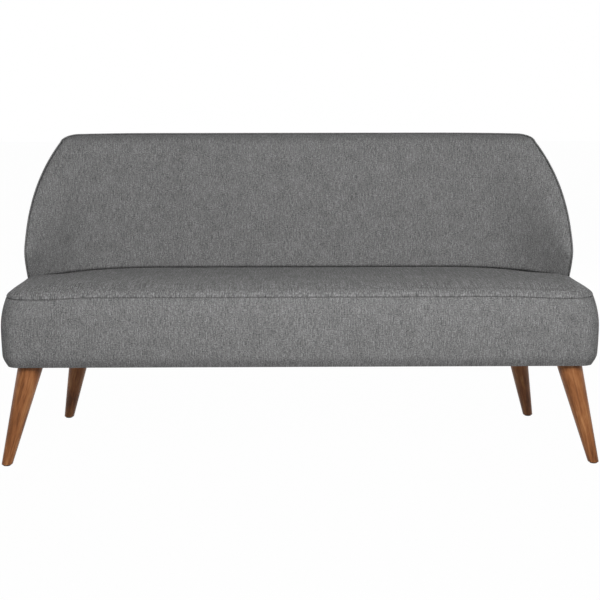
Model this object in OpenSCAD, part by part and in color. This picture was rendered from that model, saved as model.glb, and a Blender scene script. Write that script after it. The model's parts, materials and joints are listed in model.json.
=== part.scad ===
/* [Seat] */
// Width over the sides of the seat at their fullest
seat_w = 1620; // [1400:10:1900]
// Depth of the seat box from its front face to its rear face
seat_d = 640; // [600:5:700]
// Height of the seat's underside above the floor
seat_bottom_z = 265; // [230:5:300]
// Height of the seat box from its underside to its top seam
seat_box_h = 191; // [178:1:210]
// Height of the sides' fullest line above the underside
full_h = 76; // [60:1:100]
// Rise of the top panel above the seam, in the middle of the seat
seat_crown = 15; // [12:1:30]
// Rise of the top panel above the seam, at the end of its rolled edge
edge_rise = 10; // [6:1:12]
// How far the seam lies inside the fullest line of the sides
seam_in = 13; // [10:1:16]
// How far the seam sinks at the two front corners
seam_dip = 6; // [0:1:10]
// Length of the stretch beside each corner over which the seam sinks
dip_w = 250; // [150:10:400]
// Radius of the turn along the seat's lower edge
lower_edge_r = 38; // [34:1:42]
// Plan radius of the two front corners along the fullest line
front_corner_r = 48; // [46:1:70]
// Plan radius of the two front corners along the seam
seam_corner_r = 66; // [50:1:80]
// Width of the curved rear corners, from the sides inwards
rear_corner_w = 373; // [330:1:400]
// Depth of the curved rear corners, from the rear face forwards
rear_corner_d = 313; // [270:5:330]

/* [Back] */
// Height of the back's top edge above the floor
back_top_z = 867; // [800:1:950]
// Lean of the outer face of the back, in degrees
outer_lean = 8; // [4:0.5:10]
// Lean of the inner face of the back, in degrees
inner_lean = 12; // [10:0.5:13]
// Thickness of the back at the seam's height, in the middle
back_t = 94; // [90:1:110]
// Thickness of the two wings
wing_t = 70; // [60:1:85]
// Depth of the edge's seam inside the outer face
edge_d = 5; // [4:0.5:9]
// Width of the soft roll along the wings' edges
side_roll = 130; // [100:1:160]
// Height of the soft roll along the top edge
top_roll = 36; // [26:1:50]
// Distance of the wings' foremost point behind the seat's front face
nose_y = 305; // [280:1:330]
// Height of the wings' foremost point above the seam
nose_h = 79; // [60:1:110]
// Softness of the turn at the wings' foremost point
nose_turn = 30; // [15:1:50]
// Distance of the wings' foot behind the seat's front face
foot_y = 341; // [335:1:365]
// Distance of the wings' shoulder behind the seat's front face
shoulder_y = 561; // [530:1:580]
// Height of the rounded shoulder below the top edge
shoulder_h = 19; // [14:1:40]
// Length of the rounded shoulder along the width
shoulder_w = 44; // [30:1:100]

/* [Upholstery] */
// Thickness of the cover fabric
cover_t = 1.2; // [0.8:0.1:2]
// Thickness of the fibre wadding
wadding_t = 4; // [3:0.5:6]
// Radius of the slim covered cord in the seams
welt_r = 2; // [1.5:0.1:3]
// Radius of the roll along the edge of the seat's top panel
top_roll_r = 30; // [20:1:45]
// Depth to which the seat's cover is tucked down at the back
tuck_h = 26; // [15:1:40]
// Width of the turned hem under the seat
hem_w = 22; // [15:1:23]

/* [Legs] */
// Distance of the front feet's centres inside the sides
front_foot_in = 13; // [10:1:80]
// Distance of the front feet's centres behind the seat's front face
front_foot_y = 0; // [-10:1:30]
// Distance of the rear feet's centres inside the sides
rear_foot_in = 96; // [90:1:150]
// Distance of the rear feet's centres behind the seat's front face
rear_foot_y = 485; // [470:1:500]
// Sideways splay of each leg over its height
splay_x = 62; // [50:1:75]
// Splay of each leg to the front or the rear over its height
splay_y = 65; // [55:1:75]
// Diameter of a leg at the foot
foot_d = 28; // [26:1:36]
// Diameter of a leg at the top
leg_top_d = 67; // [58:1:70]
// Diameter of the felt pad under a foot
pad_d = 20; // [16:1:24]
// Thickness of the felt pad under a foot
pad_t = 3; // [2:0.5:5]

/* [Frame] */
// Thickness of the seat's rails
rail_t = 25; // [22:1:28]
// Height of the seat's rails
rail_h = 112; // [100:1:112]
// Thickness of the ribs in the back
rib_t = 18; // [15:1:21]
// Thickness of the hardboard in the back
board_t = 3; // [2:0.5:4]
// Width of the posts in the back
post_w = 40; // [30:1:60]
// Height of the timber blocks above the legs
block_t = 45; // [42:1:60]
// Width of the timber blocks above the legs
block_w = 96; // [90:1:110]
// Diameter of the leg bolts and of the back's bolts
bolt_d = 8; // [6:1:10]
// Width of the elastic webbing
web_w = 60; // [50:5:70]
// Thickness of the elastic webbing
web_t = 2; // [1:0.5:3]
// Number of straps from front to rear
cross_straps = 11; // [7:1:11]
// Number of straps from side to side
long_straps = 3; // [2:1:3]

/* [Fits] */
// Clearance between neighbouring layers and pieces
gap = 0.3; // [0.2:0.05:0.5]

/* [Hidden] */
$fn = 48;

half_w = seat_w / 2;
seam_z = seat_bottom_z + seat_box_h;
full_z = seat_bottom_z + full_h;
rear_flat = half_w - rear_corner_w;
wing_len = 300;
frame_in = seam_in + cover_t + board_t + 2 * gap;
edge_top_z = back_top_z - 2 * welt_r - gap;
nose_z = seam_z + nose_h;
shoulder_z = edge_top_z - shoulder_h;
dust_cover_t = 0.8;

// Layers of the seat, from the bottom up
leg_top_z = seat_bottom_z - dust_cover_t - 2 * gap;
rail_z = seat_bottom_z + cover_t + gap;
rail_top_z = rail_z + rail_h;
web_z = rail_top_z + gap;
foam_z = web_z + 2 * web_t + 2 * gap;

// Heights in the back
back_inner_z = rail_top_z + rib_t + 2 * gap;
back_outer_z = seam_z + welt_r;
middle_rib_z = (rail_top_z + edge_top_z) / 2;
top_rib_in = 62;
top_rib_z = edge_top_z - top_rib_in;
levels = [
    back_inner_z, back_outer_z, seam_z + nose_h * 0.6, nose_z, (nose_z + middle_rib_z) / 2,
    middle_rib_z, middle_rib_z + rib_t,
    for (k = [1, 2, 3]) middle_rib_z + rib_t + (top_rib_z - middle_rib_z - rib_t) * k / 3,
    top_rib_z + rib_t, for (k = [0.72, 0.45, 0.2, 0.04, 0]) edge_top_z - top_roll * k
];
first_outer = 1;
last_board = len(levels) - 5;
last_foam = len(levels) - 4;
last = len(levels) - 1;

fabric = "#757575";
walnut = "#7a4a2c";
beech = "#c9a578";
foam_colour = "#e6dfc4";
steel = "#9a9c9e";

function clamped(k) = max(0, min(1, k));
function mirrored(half) = concat(
    half, [for (i = [len(half) - 2 : -1 : 1]) [-half[i].x, half[i].y]]);

// Rounded edges are superellipses: this is their height at a share k of the way to the edge
roll_power = 2.3;
side_power = 1.6;
shoulder_power = 1.8;
function rounding(k, power) = pow(max(0, 1 - pow(clamped(k), power)), 1 / power);

// Plan of the outer faces. The place q runs from 0 at the middle of the rear, through 1 at the
// end of the straight stretch and 2 at the end of the curved corner, to the wing's straight side
function plan_x(q, inset) = let (t = 90 * clamped(abs(q) - 1))
    sign(q) * (abs(q) < 1 ? rear_flat * abs(q) : rear_flat + (rear_corner_w - inset) * sin(t));
function plan_y(q, inset) = let (t = 90 * clamped(abs(q) - 1))
    seat_d - inset - (rear_corner_d - inset) * (1 - cos(t)) - wing_len * max(0, abs(q) - 2);
function plan_normal(q, inset) = let (
    t = 90 * clamped(abs(q) - 1),
    n = [sin(t) / (rear_corner_w - inset), cos(t) / (rear_corner_d - inset)])
    [sign(q) * n.x, n.y] / norm(n);

function lean_shift(z) = (z - seam_z) * tan(outer_lean);

// Front edge of the wings: its distance behind the seat's front face at each height. It falls back
// above and below the foremost point, along lines that a soft turn joins
function past_turn(d) = norm([d, nose_turn]) - nose_turn;
function edge_y(z) = z < nose_z
    ? nose_y + (foot_y - nose_y) * past_turn(nose_z - max(z, seam_z)) / past_turn(nose_h)
    : nose_y + (shoulder_y - nose_y) * past_turn(z - nose_z) / past_turn(shoulder_z - nose_z);
function q_at_y(y, z) = let (
    rear = seat_d - seam_in + lean_shift(z),
    corner = rear_corner_d - seam_in)
    y < rear - corner ? 2 + (rear - corner - y) / wing_len : 1 + acos(1 - (rear - y) / corner) / 90;
function q_at_x(x) = 1 + asin((x - rear_flat) / (rear_corner_w - seam_in)) / 90;
shoulder_x = plan_x(q_at_y(shoulder_y, shoulder_z), seam_in);
function q_end(z) = z < shoulder_z
    ? q_at_y(edge_y(z), z)
    : q_at_x(shoulder_x - shoulder_w * (1 - rounding((z - shoulder_z) / shoulder_h, shoulder_power)));

// Thickness of the back: full in the middle, slender at the wings
function middle_t(z) = back_t - (z - seam_z) * (tan(inner_lean) - tan(outer_lean));
slender_from = 1;
function thickness(q, z) = let (k = 0.5 + 0.5 * cos(180 * clamped((abs(q) - 1) / slender_from)))
    wing_t + (middle_t(z) - wing_t) * k;

// 1 over the full face, down to 0 at the edge, along the rolls of the wings' edges and the top
function edge_share(q, z) = let (
    end = q_end(z),
    near = norm([plan_x(end, seam_in) - plan_x(abs(q), seam_in), plan_y(end, seam_in) - plan_y(q, seam_in)]))
    rounding(1 - near / side_roll, side_power) * rounding(1 - (edge_top_z - z) / top_roll, roll_power);

// A surface in the back is [share, offset]: share 0 is the outer face and 1 the inner face
lip = cover_t + 2 * gap;
function depth(q, z, surface) = let (
    r = edge_share(q, z),
    outer = (edge_d - lip) * (1 - r),
    inner = edge_d + lip + (thickness(q, z) - edge_d - lip) * r)
    outer + (inner - outer) * surface[0] + surface[1];
function back_point(q, z, surface) = let (
    n = plan_normal(q, seam_in),
    d = depth(q, z, surface))
    [plan_x(q, seam_in) - n.x * d, plan_y(q, seam_in) + lean_shift(z) - n.y * d, z];

outer_cover = [[0, 0], [0, cover_t]];
outer_board = [[0, cover_t + gap], [0, cover_t + gap + board_t]];
frame_out = [0, cover_t + 2 * gap + board_t];
frame_mid = [0.5, 0];
inner_board = [[0.5, gap], [0.5, gap + board_t]];
inner_foam = [[0.5, 2 * gap + board_t], [1, -cover_t - wadding_t - 2 * gap]];
inner_wadding = [[1, -cover_t - wadding_t - gap], [1, -cover_t - gap]];
inner_cover = [[1, -cover_t], [1, 0]];

// Stations across one half of the back, close together at the wing's edge
half_stations = [0, 0.24, 0.46, 0.55, 0.63, 0.71, 0.79, 0.86, 0.92, 0.965, 0.99, 1];
rib_end = 7;
foam_end = 9;
function both_sides(half) = concat([for (i = [len(half) - 1 : -1 : 1]) -half[i]], half);
function stations_to(k) = [for (i = [0 : k]) half_stations[i]];

function back_grid(stations, k0, k1, surface) = [for (u = stations) [for (k = [k0 : k1])
    back_point(u * q_end(levels[k]), levels[k], surface)]];

// Extreme points along the depth, which centre the sofa on its own frame
foot_lean = splay_y / leg_top_z;
front_y = min(0, front_foot_y + pad_t * foot_lean - foot_d / 2 * norm([1, foot_lean]));
rear_y = max([for (z = levels) back_point(0, z, [0, 0]).y]);
middle_y = (front_y + rear_y) / 2;

// Plan of the seat box, seen from above, at an inset from its fullest line. The front corners'
// centre moves inwards from the rails up to the seam, where the corners are rounder, and for a
// ring so deep that its own radius would run out
smallest_r = 4;
seam_ease = seam_corner_r + seam_in - front_corner_r;
ease_power = 1.6;
function corner_ease(z) = seam_ease * pow(clamped((z - rail_top_z) / (seam_z - rail_top_z)), ease_power);
function corner_centre(inset, ease) = max(front_corner_r + ease, inset + smallest_r);
foot_q = q_at_y(foot_y - 3 * welt_r - 2 * gap, seam_z);
corner_steps = 9;
corner_places = concat([for (i = [0 : corner_steps]) 1 + (foot_q - 1) * i / corner_steps], [2]);
dip_full_w = 110;
front_x = concat(
    [for (i = [0 : 2]) (half_w - dip_w) * i / 2],
    [for (i = [1 : 3]) half_w - dip_w + (dip_w - dip_full_w) * i / 3]);
side_start = seam_corner_r + seam_in;
side_end = min(seat_d - rear_corner_d, plan_y(foot_q, seam_in) - smallest_r);
side_y = [for (i = [1 : 3]) side_start + (side_end - side_start) * i / 3];
turn_steps = 5;
function front_corner(inset, ease, a) = let (c = corner_centre(inset, ease))
    [half_w - c + (c - inset) * sin(a), c - (c - inset) * cos(a)];
function front_half(inset, ease) = concat(
    [for (x = front_x) [x, inset]],
    [for (i = [0 : turn_steps]) front_corner(inset, ease, 90 * i / turn_steps)],
    [for (y = side_y) [half_w - inset, y]]);
function box_half(inset, ease = 0) = concat(
    front_half(inset, ease),
    [for (i = [corner_steps : -1 : 0]) let (q = corner_places[i]) [plan_x(q, inset), plan_y(q, inset)]],
    [for (i = [3 : -1 : 0]) [plan_x(i / 4, inset), plan_y(i / 4, inset)]]);
corner_start = len(front_x) + turn_steps;
corner_end = corner_start + 4 + corner_steps;
function box_ring(inset, ease = 0) = mirrored(box_half(inset, ease));

// The seam and the border below it sink a little beside the two front corners
function smooth(k) = clamped(k) * clamped(k) * (3 - 2 * clamped(k));
function dip(p, z) = seam_dip * pow(clamped((z - full_z) / (seam_z - full_z)), 2)
    * smooth((abs(p.x) - half_w + dip_w) / (dip_w - dip_full_w)) * pow(clamped(1 - p.y / seat_d), 3);
function at_height(p, z) = [p.x, p.y, z - dip(p, z)];

// Plan of the seat's top panel: the box at the front and the sides, the back's face at the rear.
// In front of the wing's foot it stays level over a ledge before it tucks down
foot_ledge = 6;
function seat_half(front_inset, front_z, rear_inset, rear_z) = concat(
    [for (p = front_half(front_inset, seam_ease)) at_height(p, front_z)],
    let (
        side = [half_w - front_inset, side_end],
        foot = [plan_x(foot_q, front_inset), plan_y(foot_q, front_inset)],
        y = foot.y - rear_inset,
        inner = [for (i = [foam_end : -1 : 0])
            back_point(half_stations[i] * q_end(rear_z), rear_z, [1, 3 * gap + rear_inset])],
        x = side.x + (foot.x - side.x) * (y - side.y) / (foot.y - side.y))
        concat(
            [at_height([x, y], front_z), at_height([x - foot_ledge, y], front_z),
                [inner[0].x, y, rear_z]],
            inner));
function seat_ring(half) = concat(
    half, [for (i = [len(half) - 2 : -1 : 1]) [-half[i].x, half[i].y, half[i].z]]);

// Ring k of the rolled edge of the top panel, at a depth below its surface
roll_steps = 4;
rear_roll = 0.8;
function top_ring(k, deep) = let (a = 90 * k / roll_steps, r = top_roll_r * (1 - cos(a)))
    seat_ring(seat_half(
        seam_in + r + deep * cos(a), seam_z + edge_rise * sin(a) - deep * sin(a),
        r * rear_roll + deep * cos(a),
        seam_z - tuck_h + (tuck_h + edge_rise * rear_roll) * sin(a) - deep * sin(a)));
function inner_ring(share, deep) = let (crown_y = (seat_d - back_t) / 2)
    [for (p = top_ring(roll_steps, deep)) [
        p.x * share,
        crown_y + (p.y - crown_y) * share,
        p.z * share + (seam_z + seat_crown - deep) * (1 - share)
            + (seat_crown - edge_rise) * share * (1 - share)]];
inner_shares = [0.75, 0.4];
function top_rings(deep) = concat(
    [for (k = [0 : roll_steps]) top_ring(k, deep)],
    [for (share = inner_shares) inner_ring(share, deep)]);

// Profile of the border: [inset, height] from the hem, round the lower edge, up to the seam
border_power = 2.2;
function border_inset(z) = seam_in * pow(clamped((z - full_z) / (seam_z - full_z)), border_power);
function border_profile(deep) = concat(
    [[lower_edge_r + hem_w, seat_bottom_z + deep]],
    [for (a = [0 : 22.5 : 90]) [
        lower_edge_r - (lower_edge_r - deep) * sin(a),
        seat_bottom_z + lower_edge_r - (lower_edge_r - deep) * cos(a)]],
    [for (k = [0.25, 0.5, 0.75, 1]) let (z = full_z + (seam_z - gap - full_z) * k)
        [border_inset(z) + deep, z]]);

module placed() {
    translate([0, -middle_y, 0]) children();
}

// Closed solid through rings of equal length, with a fan over each end. Its quads are split along
// one diagonal, and below the ring number `turned` along the other, as in the layer beneath
module loft(rings, turned = 0) {
    n = len(rings[0]);
    top = len(rings) - 1;
    ends = [for (r = [rings[0], rings[top]]) [for (k = [0 : 2]) [for (p = r) p[k]] * [for (p = r) 1] / n]];
    polyhedron(
        points = concat([for (r = rings) each r], ends),
        faces = concat(
            [for (i = [0 : top - 1]) for (j = [0 : n - 1]) let (a = i * n + j, b = i * n + (j + 1) % n)
                each i < turned
                    ? [[a, a + n, b], [b, a + n, b + n]]
                    : [[a, b + n, b], [a, a + n, b + n]]],
            [for (j = [0 : n - 1]) [j, (j + 1) % n, n * (top + 1)]],
            [for (j = [0 : n - 1]) [top * n + (j + 1) % n, top * n + j, n * (top + 1) + 1]]));
}

// Closed solid between two grids of the same size
module sheet(front, rear) {
    m = len(front);
    n = len(front[0]);
    size = m * n;
    polyhedron(
        points = concat([for (r = front) each r], [for (r = rear) each r]),
        faces = concat(
            [for (i = [0 : m - 2]) for (j = [0 : n - 2]) let (a = i * n + j, b = a + n)
                each [[a, b + 1, a + 1], [a, b, b + 1],
                    [size + a, size + a + 1, size + b + 1], [size + a, size + b + 1, size + b]]],
            [for (i = [0 : m - 2]) let (a = i * n, b = a + n, c = a + n - 1, d = b + n - 1)
                each [[a, size + b, b], [a, size + a, size + b],
                    [c, d, size + d], [c, size + d, size + c]]],
            [for (j = [0 : n - 2]) let (a = j, b = (m - 1) * n + j)
                each [[a, a + 1, size + a + 1], [a, size + a + 1, size + a],
                    [b, size + b + 1, b + 1], [b, size + b, size + b + 1]]]));
}

// Closed ring round the seat box, from a closed profile of [inset, height] points
module band(profile) {
    rings = [for (p = profile) [for (q = box_ring(p[0], corner_ease(p[1]))) at_height(q, p[1])]];
    n = len(rings[0]);
    m = len(rings);
    polyhedron(
        points = [for (r = rings) each r],
        faces = [for (i = [0 : m - 1]) for (j = [0 : n - 1]) let (
            k = (i + 1) % m, a = i * n + j, b = i * n + (j + 1) % n,
            c = k * n + j, d = k * n + (j + 1) % n)
            each [[a, d, b], [a, c, d]]]);
}

// Layer of the back between two surfaces, over a range of the levels
module back_layer(stations, k0, k1, surfaces) {
    sheet(back_grid(stations, k0, k1, surfaces[0]), back_grid(stations, k0, k1, surfaces[1]));
}

// Edge of a rib: its last stretch stops part of the way along, at the place `ends`
function rib_edge(z, surface, ends) = let (
    points = [for (i = [0 : rib_end]) back_point(half_stations[i] * q_end(z), z, surface)],
    before = half_stations[rib_end - 1],
    share = (ends / q_end(z) - before) / (half_stations[rib_end] - before),
    tip = points[rib_end - 1] + (points[rib_end] - points[rib_end - 1]) * share,
    half = concat([for (i = [0 : rib_end - 1]) [points[i].x, points[i].y]], [[tip.x, tip.y]]))
    concat([for (i = [rib_end : -1 : 1]) [-half[i].x, half[i].y]], half);

// Flat rib of the back: its edges stay inside the leaning boards over its whole thickness
module rib(z) {
    ends = min(q_end(z), q_end(z + rib_t)) * (half_stations[rib_end] - 8 * gap / half_w);
    outer = rib_edge(z, frame_out, ends);
    inner = rib_edge(z + rib_t, frame_mid, ends);
    translate([0, 0, z])
        linear_extrude(rib_t)
            polygon(concat(outer, [for (i = [len(inner) - 1 : -1 : 0]) inner[i]]));
}

// Leaning posts between two heights, within the thickness of the ribs
post_in = 26;
post_pitch = (rear_flat - post_w / 2 - post_in) / 2;
module posts(z0, z1) {
    low = [back_point(0, z0, frame_mid).y + gap, back_point(0, z0, frame_out).y - 2 * gap];
    high = [back_point(0, z1, frame_mid).y + gap, back_point(0, z1, frame_out).y - 2 * gap];
    for (i = [-2 : 2])
        translate([i * post_pitch - post_w / 2, 0, 0])
            rotate([90, 0, 90])
                linear_extrude(post_w)
                    polygon([[low[0], z0], [low[1], z0], [high[1], z1], [high[0], z1]]);
}

// Curved strip along the rear between two insets, over a list of places
function strip(places, inset0, inset1) = concat(
    [for (q = places) [plan_x(q, inset0), plan_y(q, inset0)]],
    [for (i = [len(places) - 1 : -1 : 0]) [plan_x(places[i], inset1), plan_y(places[i], inset1)]]);

// The four legs: [side, foot x, foot y, direction of the splay along the depth]
legs = [
    [-1, half_w - front_foot_in, front_foot_y, -1],
    [1, half_w - front_foot_in, front_foot_y, -1],
    [-1, half_w - rear_foot_in, rear_foot_y, 1],
    [1, half_w - rear_foot_in, rear_foot_y, 1]
];
leg_length = norm([splay_x, splay_y, leg_top_z]);
bolt_in_leg = 45;
bolt_above = 40;
function leg_foot(leg) = [leg[0] * leg[1], leg[2], 0];
function leg_top(leg) = [leg[0] * (leg[1] - splay_x), leg[2] - leg[3] * splay_y, leg_top_z];

// Puts +Z along the leg's axis, with the origin at the middle of its top
module along_leg(leg) {
    way = leg_foot(leg) - leg_top(leg);
    translate(leg_top(leg))
        rotate([0, acos(-way.z / norm(way)), atan2(-way.y, -way.x)])
            children();
}

// Slanted bores have flat sides, which all stay clear of the round piece inside
bore_sides = 12;
module bore(length, inner_d) {
    cylinder(h = length, r = (inner_d / 2 + gap) / cos(180 / bore_sides), $fn = bore_sides);
}

// A leg is a turned cone, cut level at the floor pad and under the seat
module leg(index) {
    spare = leg_top_d / 2;
    reach = leg_length + leg_top_d;
    slope = (leg_top_d - foot_d) / 2 / leg_length;
    color(walnut)
        placed()
            difference() {
                intersection() {
                    along_leg(legs[index])
                        rotate([0, 0, 90])
                            translate([0, 0, -leg_length - spare])
                                cylinder(
                                    h = leg_length + 2 * spare,
                                    r1 = foot_d / 2 - slope * spare,
                                    r2 = leg_top_d / 2 + slope * spare);
                    translate(leg_top(legs[index]) + [-reach, -reach, pad_t - leg_top_z])
                        cube([2 * reach, 2 * reach, leg_top_z - pad_t]);
                }
                along_leg(legs[index])
                    translate([0, 0, -bolt_in_leg - gap])
                        bore(bolt_in_leg + spare, bolt_d);
            }
}

module foot_pads() {
    color("#3a3a3a")
        placed()
            for (leg = legs)
                translate(leg_foot(leg) + [-leg[0] * splay_x, leg[3] * -splay_y, 0] * pad_t / leg_top_z)
                    cylinder(h = pad_t, d = pad_d);
}

module leg_bolts() {
    color(steel)
        placed()
            for (leg = legs)
                along_leg(leg)
                    translate([0, 0, -bolt_in_leg])
                        cylinder(h = bolt_in_leg + bolt_above, d = bolt_d);
}

// Tee nuts sit in the tops of the blocks, square to the bolts
nut_flange_d = 20;
nut_flange_t = 1.5;
nut_barrel_d = 11;
nut_barrel_h = 9;
nut_seat = 34;
bite = 0.01;
module tee_nuts() {
    color(steel)
        placed()
            for (leg = legs)
                along_leg(leg)
                    difference() {
                        union() {
                            translate([0, 0, nut_seat])
                                cylinder(h = nut_flange_t, d = nut_flange_d);
                            translate([0, 0, nut_seat - nut_barrel_h])
                                cylinder(h = nut_barrel_h + bite, d = nut_barrel_d);
                        }
                        translate([0, 0, nut_seat - nut_barrel_h - 1])
                            cylinder(h = nut_barrel_h + nut_flange_t + 2, r = bolt_d / 2 + gap);
                    }
}

// Timber blocks that carry the legs: each reaches out to the rails beside it
module leg_blocks() {
    color(beech)
        placed()
            difference() {
                intersection() {
                    for (leg = legs) {
                        side = leg[0];
                        inner_x = abs(leg_top(leg).x) - block_w / 2;
                        near_y = leg[3] < 0 ? 0 : leg_top(leg).y - block_w / 2;
                        far_y = leg_top(leg).y + block_w / 2;
                        translate([side > 0 ? inner_x : -half_w, near_y, rail_z])
                            cube([half_w - inner_x, far_y - near_y, block_t]);
                    }
                    translate([0, 0, seat_bottom_z])
                        linear_extrude(seat_box_h)
                            polygon(box_ring(frame_in + rail_t + gap));
                }
                for (leg = legs)
                    along_leg(leg) {
                        bore(nut_seat, bolt_d);
                        translate([0, 0, nut_seat - nut_barrel_h - gap])
                            bore(nut_barrel_h + gap, nut_barrel_d);
                        translate([0, 0, nut_seat - bite])
                            bore(block_t, nut_flange_d);
                    }
            }
}

// Section of the rails, as [inset, height]: its lower edge follows the turn of the border's cover
rail_section = let (
    turn = border_profile(cover_t + gap),
    k = (turn[2][0] - frame_in) / (turn[2][0] - turn[3][0]))
    [[frame_in, turn[2][1] + (turn[3][1] - turn[2][1]) * k], turn[2], turn[1],
        [frame_in + rail_t, rail_z], [frame_in + rail_t, rail_top_z], [frame_in, rail_top_z]];

// Rail along a stretch of the box's plan, from one of its points to another
module bent_rail(first_point, last_point) {
    rows = [for (p = rail_section) box_half(p[0])];
    loft([for (i = [first_point : last_point])
        [for (k = [0 : len(rail_section) - 1]) [rows[k][i].x, rows[k][i].y, rail_section[k][1]]]]);
}

// Straight rail of a length, with its outer face towards +Y and its middle at the origin
module straight_rail(length) {
    translate([-length / 2, 0, 0])
        rotate([90, 0, 90])
            linear_extrude(length)
                polygon([for (p = rail_section) [-p[0], p[1]]]);
}

module front_rail() {
    color(beech)
        placed()
            for (side = [0, 1])
                mirror([side, 0, 0])
                    bent_rail(0, corner_start);
}

module side_rail(side) {
    length = side_end - front_corner_r - 2 * gap;
    color(beech)
        placed()
            translate([side * half_w, (side_end + front_corner_r) / 2, 0])
                rotate([0, 0, -90 * side])
                    straight_rail(length);
}

// Bolts that hold the back's bottom rib down on the rear rail, between the posts
back_bolt_x = [for (i = [-1.5, -0.5, 0.5, 1.5]) i * post_pitch];
bolt_head_h = 5;
module at_back_bolts() {
    for (x = back_bolt_x)
        translate([x, seat_d - frame_in - rail_t / 2, rail_top_z])
            children();
}

module back_bolts() {
    color(steel)
        placed()
            at_back_bolts() {
                translate([0, 0, -rail_h / 2])
                    cylinder(h = rail_h / 2 + rib_t + 2 * gap, d = bolt_d);
                translate([0, 0, rib_t + 2 * gap])
                    cylinder(h = bolt_head_h, d = 2 * bolt_d);
            }
}

module rear_rail() {
    color(beech)
        placed()
            difference() {
                translate([0, seat_d, 0])
                    straight_rail(2 * (rear_flat - gap));
                at_back_bolts()
                    translate([0, 0, -rail_h / 2 - gap])
                        cylinder(h = rail_h, r = bolt_d / 2 + gap);
            }
}

// Bent rails round the two rear corners
module corner_rail(side) {
    color(beech)
        placed()
            mirror([side < 0 ? 1 : 0, 0, 0])
                bent_rail(corner_start + 3, corner_end);
}

ledger_w = 60;
ledger_h = 20;
cross_rail_x = 270;
module cross_rails() {
    color(beech)
        placed()
            for (side = [-1, 1])
                translate([side * cross_rail_x - rail_t / 2, frame_in + rail_t + gap, rail_z])
                    cube([rail_t, seat_d - 2 * (frame_in + rail_t + gap), rail_h - ledger_h - gap]);
}

// Strip inside the rear and corner rails that takes the ends of the webbing
module rear_ledger() {
    half = [for (i = [0 : corner_steps]) corner_places[i]];
    places = concat([for (i = [len(half) - 1 : -1 : 0]) -half[i]], half);
    color(beech)
        placed()
            translate([0, 0, rail_top_z - ledger_h])
                linear_extrude(ledger_h)
                    polygon(strip(places, frame_in + rail_t + gap, frame_in + rail_t + ledger_w));
}

// Elastic straps: the ones from front to rear lie under the ones from side to side
strap_end = 7;
module webbing_crosswise() {
    pitch = 2 * (half_w - front_corner_r - web_w * 2) / (cross_straps - 1);
    color("#2f2f33")
        placed()
            for (i = [0 : cross_straps - 1]) {
                x = (i - (cross_straps - 1) / 2) * pitch;
                q = abs(x) + web_w / 2 < rear_flat
                    ? 1
                    : 1 + asin((abs(x) + web_w / 2 - rear_flat) / (rear_corner_w - frame_in - rail_t)) / 90;
                rear = back_point(q, rail_top_z + rib_t, frame_mid).y - strap_end;
                translate([x - web_w / 2, frame_in + strap_end, web_z])
                    cube([web_w, rear - frame_in - strap_end, web_t]);
            }
}

module webbing_lengthwise() {
    length = 2 * (half_w - frame_in - strap_end);
    pitch = (side_end - web_w / 2) / long_straps;
    color("#2f2f33")
        placed()
            for (i = [1 : long_straps])
                translate([-length / 2, i * pitch - web_w / 2, web_z + web_t + gap])
                    cube([length, web_w, web_t]);
}

module seat_foam() {
    deep = cover_t + wadding_t + 2 * gap;
    base = seat_ring(seat_half(seam_in + deep, foam_z, deep, back_inner_z));
    color(foam_colour)
        placed()
            loft(concat([[for (p = base) [p.x, p.y, foam_z]]], top_rings(deep)));
}

// Shell over the top of the seat between two depths below its surface
module seat_shell(deep0, deep1) {
    upper = top_rings(deep0);
    lower = top_rings(deep1);
    loft(concat([for (i = [len(lower) - 1 : -1 : 0]) lower[i]], upper), len(lower) - 1);
}

module seat_wadding() {
    color("#f2f2ee")
        placed()
            seat_shell(cover_t + gap, cover_t + gap + wadding_t);
}

module seat_top_cover() {
    color(fabric)
        placed()
            seat_shell(0, cover_t);
}

// The facets of the curved corners need a little room behind the border's foam
corner_sag = 1;
module seat_border_foam() {
    inner = frame_in - gap - corner_sag;
    outer = [for (p = border_profile(cover_t + gap)) if (p[0] < inner - 1) p];
    color(foam_colour)
        placed()
            band(concat(
                [[inner, outer[0][1]]], outer,
                [[inner, outer[len(outer) - 1][1]], [inner, rail_top_z]]));
}

module seat_border_cover() {
    outer = border_profile(0);
    inner = border_profile(cover_t);
    color(fabric)
        placed()
            band(concat(outer, [for (i = [len(inner) - 1 : -1 : 0]) inner[i]]));
}

module seat_welt() {
    color(fabric)
        placed()
            band([for (a = [300 : -60 : 0]) [
                seam_in - welt_r - 2 * gap + welt_r * cos(a),
                seam_z + welt_r * sin(a)]]);
}

module dust_cover() {
    color("#202022")
        placed()
            difference() {
                translate([0, 0, leg_top_z + gap])
                    linear_extrude(dust_cover_t)
                        polygon(box_ring(lower_edge_r + hem_w / 2));
                for (leg = legs)
                    along_leg(leg)
                        translate([0, 0, -leg_top_d / 2])
                            bore(leg_top_d, bolt_d);
            }
}

module back_bottom_rib() {
    color(beech)
        placed()
            difference() {
                rib(rail_top_z + gap);
                at_back_bolts()
                    cylinder(h = rib_t + 1, r = bolt_d / 2 + gap);
            }
}

module back_middle_rib() {
    color(beech) placed() rib(middle_rib_z);
}

module back_top_rib() {
    color(beech) placed() rib(top_rib_z);
}

module back_lower_posts() {
    color(beech) placed() posts(rail_top_z + rib_t + 2 * gap, middle_rib_z - gap);
}

module back_upper_posts() {
    color(beech) placed() posts(middle_rib_z + rib_t + gap, top_rib_z - gap);
}

// Bent panel of a wing, from the ribs' ends to just behind the wing's edge
module wing_panel(side) {
    stations = [for (i = [rib_end : foam_end])
        side * half_stations[side > 0 ? i : rib_end + foam_end - i]];
    color(beech)
        placed()
            back_layer(stations, 0, last_board, [frame_out, frame_mid]);
}

module inside_back_board() {
    color("#8a6a48")
        placed()
            back_layer(both_sides(stations_to(foam_end)), 0, last_board, inner_board);
}

module outside_back_board() {
    color("#8a6a48")
        placed()
            back_layer(both_sides(stations_to(foam_end)), first_outer, last_board, outer_board);
}

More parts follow.
